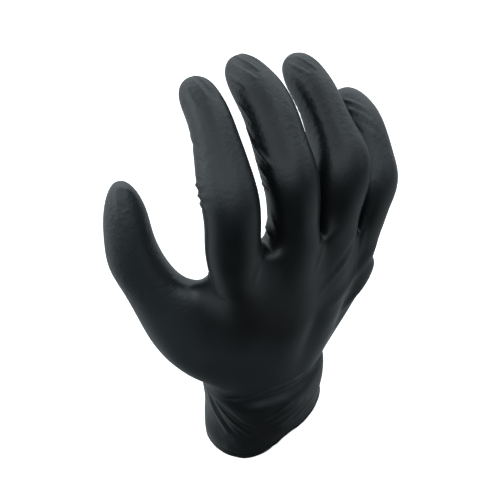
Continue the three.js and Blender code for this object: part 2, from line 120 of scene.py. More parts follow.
@dataclass(frozen=True)
class Digit:
    """A finger or the thumb as a chain of bones.

    Args:
        name: what it is called.
        root: place of its first joint in the hand's frame, in millimetres.
        lengths: lengths of its bones in millimetres.
        bends: bends at its joints in degrees.
        breadth: breadth at its middle joint in millimetres.
        spread: sideways turn in degrees.
        inward: turn towards the palm in degrees.
        roll: turn of its bending plane about its own length in degrees.
    """

    name: str
    root: tuple[float, ...]
    lengths: tuple[float, ...]
    bends: tuple[float, float, float]
    breadth: float
    spread: float
    inward: float = 0.0
    roll: float = 0.0

    def base(self, hand: Matrix) -> Matrix:
        """Places the first joint.

        Args:
            hand: the hand's frame.

        Returns:
            The first joint's frame.
        """
        sideways = Matrix.Rotation(math.radians(self.spread), 4, "Y")
        inwards = Matrix.Rotation(-math.radians(self.inward), 4, "X")
        about = Matrix.Rotation(math.radians(self.roll), 4, "Z")
        return hand @ Matrix.Translation(self.root) @ (sideways @ inwards) @ about

    def stations(self, hand: Matrix, count: int = 60) -> list[Matrix]:
        """Follows the bones from the first joint to the tip.

        Args:
            hand: the hand's frame.
            count: number of frames.

        Returns:
            Frames at even steps along the chain.
        """
        base = self.base(hand)
        total = sum(self.lengths)
        joints = [0.0, self.lengths[0], self.lengths[0] + self.lengths[1]]
        reach = 0.4 * self.breadth
        y = 0.0
        z = 0.0
        frames = []
        for step in range(count):
            gone = total * step / (count - 1)
            bend = 0.0
            for joint, angle in zip(joints, self.bends):
                share = min(max((gone - joint + reach) / (2 * reach), 0.0), 1.0)
                bend += math.radians(angle) * share * share * (3 - 2 * share)
            if step:
                y += math.sin(bend) * total / (count - 1)
                z += math.cos(bend) * total / (count - 1)
            frames.append(base @ Matrix.Translation((0, y, z)) @ Matrix.Rotation(-bend, 4, "X"))
        return frames


def tenths(*sizes: float) -> tuple[float, ...]:
    """Rounds sizes to a tenth of a millimetre.

    Args:
        sizes: the sizes in millimetres.

    Returns:
        The rounded sizes.
    """
    return tuple(round(size, 1) for size in sizes)


def hand_place(across: float, palmar: float, rise: float) -> tuple[float, ...]:
    """Finds the root of a digit as the part does.

    Args:
        across: share of the knuckles' span from its middle.
        palmar: share of the knuckles' depth.
        rise: share of the palm's length.

    Returns:
        The place in the hand's frame.
    """
    return tenths(across * KNUCKLE_SPAN, palmar * KNUCKLE_DEPTH, rise * PALM_LENGTH)


def finger_bones(length: float) -> tuple[float, ...]:
    """Shares out a finger's length.

    Args:
        length: the finger's length from the knuckle to the tip.

    Returns:
        The lengths of its bones.
    """
    return tenths(*(share * length for share in FINGER_BONES))


HAND = HandFrame()
DIGITS = (
    Digit("index", hand_place(-0.56, 0.0, 1.0), finger_bones(96), (29, 33, 21), 22.8, 0.5),
    Digit("middle", hand_place(-0.105, -0.05, 0.98), finger_bones(106), (28, 43, 24), 22.2, -3.2),
    Digit("ring", hand_place(0.18, 0.03, 0.93), finger_bones(101), (28, 43, 23), 22.5, 8.0),
    Digit("little", hand_place(0.48, 0.2, 0.87), finger_bones(79), (22, 41, 25), 20.5, 9.0),
    Digit(
        "thumb", hand_place(-0.33, 0.42, 0.16),
        tenths(THUMB_BASE_LENGTH, *(share * THUMB_LENGTH for share in THUMB_BONES)),
        (0, 20, 24), 22.5, -41.0, inward=10.0, roll=-50.0,
    ),
)


# Folds


@dataclass(frozen=True)
class Fold:
    """A soft ridge or crease in the film.

    Args:
        zone: the map that its path is on.
        path: the places that it runs through.
        width: half of its width in millimetres.
        height: its height in millimetres, below zero for a crease.
    """

    zone: Zone
    path: tuple[tuple[float, float], ...]
    width: float
    height: float


FOLDS = (
    # Fingertip pleats
    Fold(Zone.INDEX, ((0.97, -14), (0.86, -2)), 0.8, 0.28 * PLEAT_GAIN),
    Fold(Zone.INDEX, ((0.98, 8), (0.87, 20)), 0.8, 0.32 * PLEAT_GAIN),
    Fold(Zone.INDEX, ((0.96, 38), (0.86, 44)), 0.9, 0.25 * PLEAT_GAIN),
    Fold(Zone.INDEX, ((0.93, -42), (0.84, -34)), 0.9, 0.2 * PLEAT_GAIN),
    Fold(Zone.MIDDLE, ((0.97, -16), (0.85, 12)), 0.9, 0.42 * PLEAT_GAIN),
    Fold(Zone.MIDDLE, ((0.93, -38), (0.82, -8)), 1.0, 0.4 * PLEAT_GAIN),
    Fold(Zone.MIDDLE, ((0.9, -62), (0.79, -30)), 1.0, 0.34 * PLEAT_GAIN),
    Fold(Zone.MIDDLE, ((0.98, 22), (0.87, 40)), 0.8, 0.3 * PLEAT_GAIN),
    Fold(Zone.RING, ((0.93, -54), (0.83, -26)), 1.0, 0.36 * PLEAT_GAIN),
    Fold(Zone.RING, ((0.94, -22), (0.84, 2)), 0.9, 0.32 * PLEAT_GAIN),
    Fold(Zone.RING, ((0.96, 14), (0.86, 30)), 0.9, 0.24 * PLEAT_GAIN),
    Fold(Zone.LITTLE, ((0.89, -40), (0.79, 6)), 1.0, 0.5),
    Fold(Zone.LITTLE, ((0.83, -42), (0.73, 10)), 1.0, 0.5),
    Fold(Zone.LITTLE, ((0.77, -44), (0.68, 2)), 1.1, 0.42),
    Fold(Zone.THUMB, ((0.97, -12), (0.9, 4)), 0.8, 0.2 * PLEAT_GAIN),
    Fold(Zone.THUMB, ((0.96, 20), (0.89, 30)), 0.8, 0.2 * PLEAT_GAIN),
    # Slack film along the side of the middle finger
    Fold(Zone.MIDDLE, ((0.82, -92), (0.76, -74), (0.7, -60)), 0.9, 0.4),
    Fold(Zone.MIDDLE, ((0.7, -96), (0.62, -76), (0.53, -48)), 0.9, 0.7),
    Fold(Zone.MIDDLE, ((0.58, -100), (0.5, -70)), 1.0, 0.4),
    Fold(Zone.MIDDLE, ((0.49, -116), (0.46, -90)), 0.9, 0.4),
    Fold(Zone.MIDDLE, ((0.36, -92), (0.31, -70)), 1.1, 0.4),
    Fold(Zone.MIDDLE, ((0.28, -120), (0.26, -88)), 1.2, 1.4),
    Fold(Zone.INDEX, ((0.73, -124), (0.71, -62)), 1.2, -0.4),
    # Film bunched beside the index finger's middle joint
    Fold(Zone.INDEX, ((0.57, -126), (0.555, -74)), 0.9, 0.7),
    Fold(Zone.INDEX, ((0.525, -130), (0.515, -72)), 0.9, 0.6),
    Fold(Zone.INDEX, ((0.48, -130), (0.475, -80)), 1.0, 0.4),
    # Webs
    Fold(Zone.INDEX, ((0.27, 58), (0.2, 34), (0.13, 20)), 1.1, 0.5),
    Fold(Zone.BACK, ((7.5, 112), (6.5, 103)), 0.9, 0.5),
    Fold(Zone.BACK, ((4.5, 104), (-0.5, 97)), 1.0, 0.45),
    # Little finger side of the back
    Fold(Zone.LITTLE, ((0.5, -34), (0.3, -42), (0.12, -30)), 1.2, 0.45),
    Fold(Zone.BACK, ((23, 97), (12, 90), (3, 83)), 1.1, 0.55),
    Fold(Zone.BACK, ((19, 99), (9, 91)), 1.0, -0.4),
    Fold(Zone.BACK, ((34, 88), (20, 76), (6, 68)), 3.0, 0.7),
    Fold(Zone.BACK, ((36, 72), (27, 55), (18, 42)), 2.6, 0.5),
    Fold(Zone.BACK, ((-30, 62), (-14, 69)), 2.6, 0.3),
    # Wrist creases
    Fold(Zone.CUFF, ((172, 0.9), (190, 0.95), (208, 0.97), (226, 0.98), (246, 1.02)), 1.3, -0.5),
    Fold(Zone.CUFF, ((228, 1.0), (252, 1.08), (283, 1.06), (310, 0.96), (338, 0.84)), 1.45, -1.05),
    Fold(Zone.CUFF, ((170, 0.05), (220, 0.05), (270, 0.05), (320, 0.05), (360, 0.05)), 0.6, -0.25),
    # Fan of folds on the thumb side of the cuff
    Fold(Zone.CUFF, ((182, 0.86), (190, 0.6), (205, 0.34)), 1.3, 0.45),
    Fold(Zone.CUFF, ((188, 0.84), (200, 0.56), (214, 0.34)), 1.2, -0.32),
    Fold(Zone.CUFF, ((194, 0.82), (210, 0.58), (230, 0.34)), 1.1, 0.5),
    Fold(Zone.CUFF, ((205, 0.8), (222, 0.58), (242, 0.42)), 1.2, -0.3),
    # Slant ripples across the cuff
    Fold(Zone.CUFF, ((218, 0.62), (245, 0.66), (275, 0.76)), 1.1, 0.3),
    Fold(Zone.CUFF, ((226, 0.48), (252, 0.55), (285, 0.68)), 1.1, 0.32),
    Fold(Zone.CUFF, ((238, 0.36), (262, 0.45), (296, 0.58)), 1.2, 0.28),
    Fold(Zone.CUFF, ((250, 0.26), (280, 0.4), (318, 0.52)), 1.3, 0.25),
    # Unseen palm side of the cuff and palm
    Fold(Zone.CUFF, ((20, 0.85), (60, 0.7), (110, 0.8)), 2.0, -0.8),
    Fold(Zone.CUFF, ((40, 0.6), (85, 0.45), (125, 0.6)), 1.8, 0.6),
    Fold(Zone.CUFF, ((95, 0.35), (130, 0.5), (160, 0.75)), 1.6, 0.6),
    Fold(Zone.PALM, ((-34, 66), (-10, 60), (12, 44)), 1.8, -0.8),
    Fold(Zone.PALM, ((-24, 30), (-8, 44), (-4, 64)), 1.8, -0.7),
    Fold(Zone.PALM, ((34, 70), (12, 72), (-10, 80)), 1.8, -0.7),
)


@dataclass(frozen=True)
class Bulge:
    """A broad soft swelling of slack film, or a hollow where it is drawn in.

    Args:
        zone: the map that it is on.
        place: its middle.
        reach: how far it fades out along and across, in millimetres.
        lift: its height in millimetres, below zero for a hollow.
    """

    zone: Zone
    place: tuple[float, float]
    reach: tuple[float, float]
    lift: float


BULGES = (
    Bulge(Zone.MIDDLE, (0.73, 84), (19, 10), 3.2),
    Bulge(Zone.MIDDLE, (0.34, 92), (16, 8), 1.1),
    Bulge(Zone.RING, (0.36, -92), (14, 8), 1.0),
    Bulge(Zone.MIDDLE, (0.4, -90), (15, 8), -1.4),
    Bulge(Zone.RING, (0.6, -88), (12, 7), -1.6),
    Bulge(Zone.RING, (0.5, 64), (14, 9), 2.2),
    Bulge(Zone.LITTLE, (0.74, 78), (15, 9), 2.6),
    Bulge(Zone.LITTLE, (0.48, 84), (13, 9), 1.5),
    Bulge(Zone.LITTLE, (0.06, 84), (15, 11), -3.2),
    Bulge(Zone.INDEX, (0.84, -86), (9, 8), -1.4),
    Bulge(Zone.INDEX, (0.58, -90), (9, 8), 1.1),
    Bulge(Zone.INDEX, (0.18, -90), (20, 9), 1.2),
    Bulge(Zone.INDEX, (0.5, 86), (11, 8), -1.0),
)


@dataclass(frozen=True)
class Nudge:
    """A place of the film that is pulled a little way.

    Args:
        place: its middle in millimetres.
        reach: how far it fades out in millimetres.
        move: how far its middle moves, in millimetres.
    """

    place: tuple[float, float, float]
    reach: float
    move: tuple[float, float, float]


NUDGES = (
    Nudge((-3, -27, 5), 14.0, (0.0, 1.8, 2.2)),
    Nudge((10, -37, 145), 6.0, (0.0, 0.0, 3.0)),
    Nudge((33, -36, 140), 6.0, (0.0, 0.0, 3.0)),
    Nudge((48, -33, 129), 6.0, (0.0, 0.0, 2.6)),
    Nudge((-30, 1, 10), 8.0, (-1.7, 0.0, 0.0)),
    Nudge((27, -14, 26), 12.0, (1.7, -0.2, 0.0)),
    Nudge((-17, -18, 131), 10.0, (0.0, 0.0, 1.4)),
    Nudge((34, -33, 143), 8.0, (0.0, -2.4, 0.8)),
    Nudge((50, -30, 132), 8.0, (0.0, -2.0, 0.6)),
)


@dataclass(frozen=True)
class Relaxed:
    """A place where the film lies taut, so that it is smoothed before it is divided.

    Args:
        place: its middle in millimetres.
        reach: how far it fades out in millimetres.
        rounds: rounds of smoothing.
    """

    place: tuple[float, float, float]
    reach: float
    rounds: int


RELAXED = (
    Relaxed((-20, -15, 126), 18.0, 30),
    Relaxed((-24, -12, 122), 13.0, 20),
    Relaxed((-19, -17, 128), 9.0, 30),
    Relaxed((10, -36, 146), 10.0, 16),
    Relaxed((33, -34, 140), 11.0, 14),
    Relaxed((48, -32, 129), 11.0, 14),
    Relaxed((0, -38, 126), 18.0, 14),
    Relaxed((20, -40, 124), 18.0, 12),
    Relaxed((38, -38, 118), 17.0, 14),
)


@dataclass(frozen=True)
class Bunching:
    """Small cross folds where the film bunches inside a bent joint.

    Args:
        digit: number of the digit in the table of digits.
        joint: the joint's share along the digit.
        height: height of the middle fold in millimetres.
    """

    digit: int
    joint: float
    height: float


FINGERS = 4
# For each joint of a finger: its share along the finger, and the height of its folds in millimetres
JOINT_FOLDS = ((0.06, 0.4), (0.47, 0.5), (0.76, 0.22))
BUNCHINGS = tuple(Bunching(finger, *joint) for finger in range(FINGERS) for joint in JOINT_FOLDS)


@dataclass
class HandMap:
    """Finds where points of the film lie on the glove's maps.

    It sets these for each point: `local`, its place in the hand's frame; `digit`, the number of the nearest
    digit; `along` and `around`, its place on that digit's map; `on_digit`, how far it belongs to the digit;
    `height` and `cuff_angle`, its place on the cuff's map.

    Args:
        points: places of the points in millimetres.
    """

    points: np.ndarray

    def __post_init__(self) -> None:
        """Places every point on the maps."""
        hand = HAND.matrix()
        to_hand = np.array(hand.inverted())
        ones = np.ones((len(self.points), 1))
        self.local = (np.hstack((self.points, ones)) @ to_hand.T)[:, :3]
        best = np.full(len(self.points), 1e9)
        self.digit = np.zeros(len(self.points), int)
        self.along = np.zeros(len(self.points))
        self.around = np.zeros(len(self.points))
        for number, digit in enumerate(DIGITS):
            frames = digit.stations(hand)
            total = sum(digit.lengths)
            for step, place in enumerate(frames):
                offset = self.points - np.array(place.translation)
                far = np.einsum("ij,ij->i", offset, offset) / digit.breadth**2
                near = far < best
                local = offset[near] @ np.array(place.to_3x3())
                best[near] = far[near]
                self.digit[near] = number
                self.along[near] = step / (len(frames) - 1) + local[:, 2] / total
                self.around[near] = np.degrees(np.arctan2(local[:, 0], -local[:, 1]))
        near_chain = np.clip((1.3 - np.sqrt(best)) / 0.4, 0, 1)
        past_root = np.clip(self.along / 0.04, 0, 1)
        self.on_digit = near_chain * past_root
        self.height = self.points[:, 2] / HAND.rise
        across = self.points[:, 0] - HAND.shift * self.height
        self.cuff_angle = np.degrees(np.arctan2(self.points[:, 1], across)) % 360

    def flat(self, zone: Zone) -> tuple[np.ndarray, np.ndarray, np.ndarray]:
        """Lays the points out on a map.

        Args:
            zone: the map.

        Returns:
            The points' places in millimetres, the scale of the map's axes, and how far each point is on it.
        """
        if zone is Zone.CUFF:
            scale = np.array([math.radians(CUFF_RADIUS), HAND.rise])
            share = np.clip((1.35 - self.height) / 0.2, 0, 1)
            return np.stack((self.cuff_angle, self.height), 1) * scale, scale, share
        if zone is Zone.BACK:
            share = np.clip(-self.local[:, 1] / 6 + 0.8, 0, 1)
            return self.local[:, (0, 2)], np.ones(2), share
        if zone is Zone.PALM:
            share = np.clip(self.local[:, 1] / 6 + 0.2, 0, 1)
            return self.local[:, (0, 2)], np.ones(2), share
        number = [digit.name for digit in DIGITS].index(zone.value)
        radius = DIGIT_RADIUS_SHARE * DIGITS[number].breadth
        scale = np.array([sum(DIGITS[number].lengths), math.radians(radius)])
        return np.stack((self.along, self.around), 1) * scale, scale, (self.digit == number) * self.on_digit


def fold_heights(places: HandMap) -> np.ndarray:
    """Adds up the folds, swellings and bunched joints.

    Args:
        places: where the points lie on the maps.

    Returns:
        How far they lift each point, in millimetres.
    """
    lift = np.zeros(len(places.points))
    for fold in FOLDS:
        flat, scale, share = places.flat(fold.zone)
        path = np.array(fold.path) * scale
        runs = np.linalg.norm(np.diff(path, axis=0), axis=1)
        total = runs.sum()
        gone = 0.0
        near = np.full(len(flat), 1e9)
        done = np.zeros(len(flat))
        for start, end, run in zip(path[:-1], path[1:], runs):
            passed = np.clip((flat - start) @ (end - start) / run**2, 0, 1)
            distance = np.linalg.norm(flat - start - passed[:, None] * (end - start), axis=1)
            closer = distance < near
            near[closer] = distance[closer]
            done[closer] = (gone + passed[closer] * run) / total
            gone += run
        taper = np.sqrt(np.clip(np.sin(np.pi * (0.06 + 0.88 * done)), 0, 1))
        ridge = np.exp(-((near / fold.width) ** 2)) - 0.3 * np.exp(-((near / (2.3 * fold.width)) ** 2))
        lift += fold.height * FOLD_GAIN * ridge * taper * share
    for bulge in BULGES:
        flat, scale, share = places.flat(bulge.zone)
        away = (flat - np.array(bulge.place) * scale) / np.array(bulge.reach)
        lift += bulge.lift * np.exp(-(away**2).sum(1)) * share
    for bunch in BUNCHINGS:
        here = places.digit == bunch.digit
        wander = np.sin(np.radians(2 * places.around) + 5 * bunch.joint + bunch.digit)
        away = (places.along - bunch.joint) * sum(DIGITS[bunch.digit].lengths) + 0.9 * wander
        inside = np.clip((np.abs(places.around) - 95) / 50, 0, 1)
        ripple = np.cos(2 * np.pi * away / 3.6) * np.exp(-((away / 4.5) ** 2))
        lift += here * inside * bunch.height * ripple * places.on_digit
    return lift


def slack_heights(places: HandMap) -> np.ndarray:
    """Works out the film's soft unevenness, which is more on the slack cuff.

    Args:
        places: where the points lie on the maps.

    Returns:
        How far it lifts each point, in millimetres.
    """
    slack = 0.12 + 0.3 * np.clip(1.15 - places.height, 0, 1)
    broad = np.array([noise.noise(Vector(point) / 13) for point in places.points])
    small = np.array([noise.noise(Vector(point) / 5) for point in places.points])
    return slack * (broad + 0.4 * small)


def painted_light_shares(places: HandMap) -> np.ndarray:
    """Works out where painted light makes the film's base colour paler.

    It lies on the thumb, on the hand just above the wrist, and thinly on the outer halves of the index finger
    and the little finger.

    Args:
        places: where the points lie on the maps.

    Returns:
        How much of it each point has, 0 to 1.
    """
    across, up = places.local[:, 0], places.local[:, 2]
    thumb = np.clip((-42 - across) / 16, 0, 1)
    side = 0.8 + 0.2 * np.clip(across / 20, 0, 1)
    low = np.clip((72 - up) / 26, 0, 1) * np.clip((up + 3) / 9, 0, 1) * side
    outer = np.isin(places.digit, (0, 3)) * places.on_digit * np.clip((places.along - 0.33) / 0.15, 0, 1)
    # Share of painted light: the colour is made paler here to stand in for light that falls on these places
    share = 1 - (1 - thumb) * (1 - low) * (1 - 0.45 * outer)
    return share * share * (3 - 2 * share)


# Finishes


@dataclass(frozen=True)
class NitrileFinish:
    """Black nitrile film: a dark satin skin with a fine uneven grain, and painted light that makes its colour
    paler in places.

    Args:
        name: the material's name.
        colour: base colour, linear.
        painted_light: base colour where the painted light is full, linear.
        roughness: mean roughness.
        grain: scale of the fine grain in one metre.
        peel: scale of the coarser grain on the outer half of the fingers, in one metre.
    """

    name: str = "black_nitrile"
    colour: tuple[float, float, float] = (0.0045, 0.0055, 0.0064)
    # Paler base colour, painted light laid on the thumb, the low hand and the outer fingers
    painted_light: tuple[float, float, float] = (0.026, 0.030, 0.032)
    roughness: float = 0.38
    grain: float = 900.0
    peel: float = 480.0

    def build(self) -> bpy.types.Material:
        """Makes the material.

        Returns:
            The material.
        """
        material = bpy.data.materials.new(self.name)
        material.use_nodes = True
        tree = material.node_tree
        shader = tree.nodes["Principled BSDF"]
        shader.inputs["IOR"].default_value = 1.5
        shader.inputs["Sheen Weight"].default_value = 0.02
        shader.inputs["Sheen Roughness"].default_value = 0.35
        tone = tree.nodes.new("ShaderNodeValToRGB")
        tone.color_ramp.elements[0].color = (*self.colour, 1)
        tone.color_ramp.elements[1].color = (*self.painted_light, 1)
        # The base colour goes from the film's own dark colour to the paler painted light by the painted
        # light's share
        tree.links.new(self.spot(tree, "painted_light"), tone.inputs["Fac"])
        tree.links.new(tone.outputs["Color"], shader.inputs["Base Color"])
        patches = self.cloud(tree, 60.0, 3.0)
        uneven = self.stretch(tree, patches, (0.3, 0.7), (self.roughness - 0.05, self.roughness + 0.05))
        tree.links.new(uneven, shader.inputs["Roughness"])
        fine = self.bump(tree, self.cloud(tree, self.grain, 4.0, 0.6), 0.0002)
        fine.inputs["Strength"].default_value = 0.25
        coarse = self.bump(tree, self.cloud(tree, self.peel, 2.0), 0.0004)
        outer = self.stretch(tree, self.spot(tree, "finger_share"), (0.42, 0.6), (0.0, 0.72))
        tree.links.new(outer, coarse.inputs["Strength"])
        tree.links.new(fine.outputs["Normal"], coarse.inputs["Normal"])
        tree.links.new(coarse.outputs["Normal"], shader.inputs["Normal"])
        return material

    @staticmethod
    def spot(tree: bpy.types.NodeTree, name: str) -> bpy.types.NodeSocket:
        """Reads one of the film's own values.

        Args:
            tree: the material's nodes.
            name: the value's name.

        Returns:
            The value at each point.
        """
        reader = tree.nodes.new("ShaderNodeAttribute")
        reader.attribute_name = name
        return reader.outputs["Fac"]

    @staticmethod
    def cloud(
        tree: bpy.types.NodeTree, scale: float, detail: float, rough: float = 0.5,
    ) -> bpy.types.NodeSocket:
        """Adds a noise that is fixed to the film.

        Args:
            tree: the material's nodes.
            scale: its scale in one metre.
            detail: how many finer layers it has.
            rough: how strong the finer layers are.

        Returns:
            The noise, 0 to 1.
        """
        coords = tree.nodes.new("ShaderNodeTexCoord")
        cloud = tree.nodes.new("ShaderNodeTexNoise")
        cloud.inputs["Scale"].default_value = scale
        cloud.inputs["Detail"].default_value = detail
        cloud.inputs["Roughness"].default_value = rough
        tree.links.new(coords.outputs["Object"], cloud.inputs["Vector"])
        return cloud.outputs["Fac"]

    @staticmethod
    def stretch(
        tree: bpy.types.NodeTree, value: bpy.types.NodeSocket,
        span: tuple[float, float], result: tuple[float, float],
    ) -> bpy.types.NodeSocket:
        """Stretches a value from one span to another.

        Args:
            tree: the material's nodes.
            value: the value.
            span: where the change begins and ends.
            result: what it gives at both ends.

        Returns:
            The stretched value.
        """
        stretch = tree.nodes.new("ShaderNodeMapRange")
        stretch.inputs["From Min"].default_value, stretch.inputs["From Max"].default_value = span
        stretch.inputs["To Min"].default_value, stretch.inputs["To Max"].default_value = result
        tree.links.new(value, stretch.inputs["Value"])
        return stretch.outputs["Result"]

    @staticmethod
    def bump(tree: bpy.types.NodeTree, height: bpy.types.NodeSocket, depth: float) -> bpy.types.Node:
        """Adds a bump.

        Args:
            tree: the material's nodes.
            height: its height, 0 to 1.
            depth: its depth in metres.

        Returns:
            The bump's node.
        """
        bump = tree.nodes.new("ShaderNodeBump")
        bump.inputs["Distance"].default_value = depth
        tree.links.new(height, bump.inputs["Height"])
        return bump


@dataclass(frozen=True)
class PlainFinish:
    """An even matt finish.

    Args:
        name: the material's name.
        colour: base colour, linear.
        roughness: roughness.
        glow: strength of its own white light.
    """

    name: str
    colour: tuple[float, float, float]
    roughness: float
    glow: float = 0.0

    def build(self) -> bpy.types.Material:
        """Makes the material.

        Returns:
            The material.
        """
        material = bpy.data.materials.new(self.name)
        material.use_nodes = True
        shader = material.node_tree.nodes["Principled BSDF"]
        shader.inputs["Base Color"].default_value = (*self.colour, 1)
        shader.inputs["Roughness"].default_value = self.roughness
        shader.inputs["Specular IOR Level"].default_value = 0.0
        shader.inputs["Emission Color"].default_value = (1, 1, 1, 1)
        shader.inputs["Emission Strength"].default_value = self.glow
        return material


# The glove


@dataclass(frozen=True)
class Ring:
    """A corner and the corners round it, which settle where the smoothing takes it.

    Args:
        corner: the corner's number.
        beside: numbers of the corners at the other ends of its edges.
        across: numbers of the corners across its faces.
        fixed: whether it is at an open edge, where it stays.
    """

    corner: int
    beside: list[int]
    across: list[int]
    fixed: bool

    @classmethod
    def of(cls, vert: bmesh.types.BMVert) -> "Ring":
        """Collects the corners round one.

        Args:
            vert: the corner.

        Returns:
            The corner's ring.
        """
        beside = [e.other_vert(vert).index for e in vert.link_edges]
        quads = [f for f in vert.link_faces if len(f.verts) == 4]
        across = [v.index for f in quads for v in f.verts if v is not vert and v.index not in beside]
        return cls(vert.index, beside, across, vert.is_boundary)

    def smoothed(self, corners: np.ndarray) -> np.ndarray:
        """Smooths the corner as one round of division does.

        Args:
            corners: places of all corners.

        Returns:
            Where it takes the corner.
        """
        place = corners[self.corner]
        if self.fixed:
            return place
        own = len(self.beside) ** 2
        weight = own + 4 * len(self.beside) + len(self.across)
        return (place * own + 4 * corners[self.beside].sum(0) + corners[self.across].sum(0)) / weight


@dataclass
class Film:
    """One side of the glove's film, smoothed from the frame's own faces.

    Args:
        side: which side of the film it is.
        finish: its finish.
        levels: rounds of smoothing.
    """

    side: Skin
    finish: NitrileFinish
    levels: int

    def build(self, node: str = "glove_shell") -> bpy.types.Object:
        """Makes the piece.

        Args:
            node: the CAD node that it stands for.

        Returns:
            The piece.
        """
        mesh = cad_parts[node].data.copy()
        work = bmesh.new()
        work.from_mesh(mesh)
        bmesh.ops.remove_doubles(work, verts=work.verts, dist=0.01 * MM)
        self.keep_side(work)
        bmesh.ops.join_triangles(
            work, faces=work.faces,
            angle_face_threshold=math.radians(60), angle_shape_threshold=math.radians(80),
        )
        self.relax(work)
        self.swell(work)
        work.to_mesh(mesh)
        work.free()
        piece = bpy.data.objects.new(f"film_{self.side.value}", mesh)
        bpy.context.scene.collection.objects.link(piece)
        smooth = piece.modifiers.new("smooth", "SUBSURF")
        smooth.levels = smooth.render_levels = self.levels
        self.bake(piece)
        if self.side is Skin.OUTER:
            self.refine(piece)
        self.fold(piece)
        piece.data.materials.clear()
        piece.data.materials.append(self.finish.build())
        for polygon in piece.data.polygons:
            polygon.use_smooth = True
        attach(piece, "root")
        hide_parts(node)
        return piece

    def keep_side(self, work: bmesh.types.BMesh) -> None:
        """Keeps one side of the film.

        The rim's bead, whose faces are small and near the mouth, goes with the outer side.

        Args:
            work: the merged mesh of the whole node.
        """
        work.faces.ensure_lookup_table()
        small = {f for f in work.faces if f.calc_area() < 2.6 * MM * MM}
        bead = {f for f in small if f.calc_center_median().z < 18 * MM}
        seed = max((f for f in work.faces if f not in bead), key=lambda f: f.calc_center_median().z)
        outer = {seed}
        front = [seed]
        while front:
            face = front.pop()
            for edge in face.edges:
                for other in edge.link_faces:
                    if other not in outer and other not in bead:
                        outer.add(other)
                        front.append(other)
        log.info("faces: outer %d, bead %d, all %d", len(outer), len(bead), len(work.faces))
        kept = outer | bead if self.side is Skin.OUTER else set(work.faces) - outer - bead
        bmesh.ops.delete(work, geom=[f for f in work.faces if f not in kept], context="FACES")

    def relax(self, work: bmesh.types.BMesh) -> None:
        """Smooths the mesh where the film lies taut.

        Args:
            work: the mesh of four-sided faces.
        """
        for spot in RELAXED:
            middle = Vector(spot.place) * MM
            reach = spot.reach * MM
            near = [v for v in work.verts if (v.co - middle).length < 2 * reach and not v.is_boundary]
            for _ in range(spot.rounds):
                moves = []
                for vert in near:
                    beside = [e.other_vert(vert).co for e in vert.link_edges]
                    share = 0.5 * math.exp(-(((vert.co - middle).length / reach) ** 2))
                    moves.append((sum(beside, Vector()) / len(beside) - vert.co) * share)
                for vert, move in zip(near, moves):
                    vert.co += move

    def refine(self, piece: bpy.types.Object) -> None:
        """Divides the film's faces once more on the cuff and the fingertips, where the folds are small.

        Args:
            piece: the piece.
        """
        work = bmesh.new()
        work.from_mesh(piece.data)
        places = HandMap(np.array([v.co for v in work.verts]) / MM)
        seen_side = (places.cuff_angle > 150) | (places.cuff_angle < 10)
        cuff = (places.height < 1.18) & seen_side
        tips = (places.on_digit > 0) & (places.along > 0.81) & (places.digit < FINGERS)
        on_middle = (places.digit == 1) & (places.on_digit > 0) & (places.along > 0.42)
        slack_side = on_middle & (places.around < -45) & (places.around > -115)
        fine = cuff | tips | slack_side
        edges = [e for e in work.edges if fine[e.verts[0].index] and fine[e.verts[1].index]]
        bmesh.ops.subdivide_edges(work, edges=edges, cuts=1, use_grid_fill=True)
        work.to_mesh(piece.data)
        work.free()

    def swell(self, work: bmesh.types.BMesh, rounds: int = 3) -> None:
        """Moves the corners out by what the smoothing will draw them in, so that the CAD's size is kept.

        Args:
            work: the mesh of four-sided faces.
            rounds: how often the corners are corrected.
        """
        work.verts.ensure_lookup_table()
        work.verts.index_update()
        wanted = np.array([v.co for v in work.verts])
        rings = [Ring.of(v) for v in work.verts]
        corners = wanted.copy()
        for _ in range(rounds):
            smooth = np.array([ring.smoothed(corners) for ring in rings])
            corners += wanted - smooth
        for vert, place in zip(work.verts, corners):
            vert.co = place

    def bake(self, piece: bpy.types.Object) -> None:
        """Turns the piece's live smoothing into its own mesh.

        Args:
            piece: the piece.
        """
        graph = bpy.context.evaluated_depsgraph_get()
        baked = bpy.data.meshes.new_from_object(piece.evaluated_get(graph))
        piece.modifiers.clear()
        piece.data = baked

    def fold(self, piece: bpy.types.Object) -> None:
        """Presses the folds into the smooth film, and keeps for the finish what it reads at each point.

        Args:
            piece: the piece.
        """
        mesh = piece.data
        count = len(mesh.vertices)
        flat = np.empty(count * 3)
        mesh.vertices.foreach_get("co", flat)
        points = flat.reshape(-1, 3) / MM
        normals = np.empty(count * 3)
        mesh.vertices.foreach_get("normal", normals)
        side = 1.0 if self.side is Skin.OUTER else -1.0
        places = HandMap(points)
        lift = (fold_heights(places) + slack_heights(places)) * side
        folded = points + normals.reshape(-1, 3) * lift[:, None]
        for nudge in NUDGES:
            away = np.linalg.norm(points - np.array(nudge.place), axis=1) / nudge.reach
            folded += np.exp(-(away**2))[:, None] * np.array(nudge.move)
        mesh.vertices.foreach_set("co", (folded * MM).ravel())
        # The painted light's share is kept for the finish along with the finger share
        kept = {"finger_share": places.along * places.on_digit, "painted_light": painted_light_shares(places)}
        for name, values in kept.items():
            mesh.attributes.new(name, "FLOAT", "POINT").data.foreach_set("value", values)
        mesh.update()


# The studio


@dataclass(frozen=True)
class Wall:
    """The room's light on one side of the glove.

    Args:
        stops: degrees above the horizon, and how bright the room is there, where 1 is white.
    """

    stops: tuple[tuple[float, float], ...]


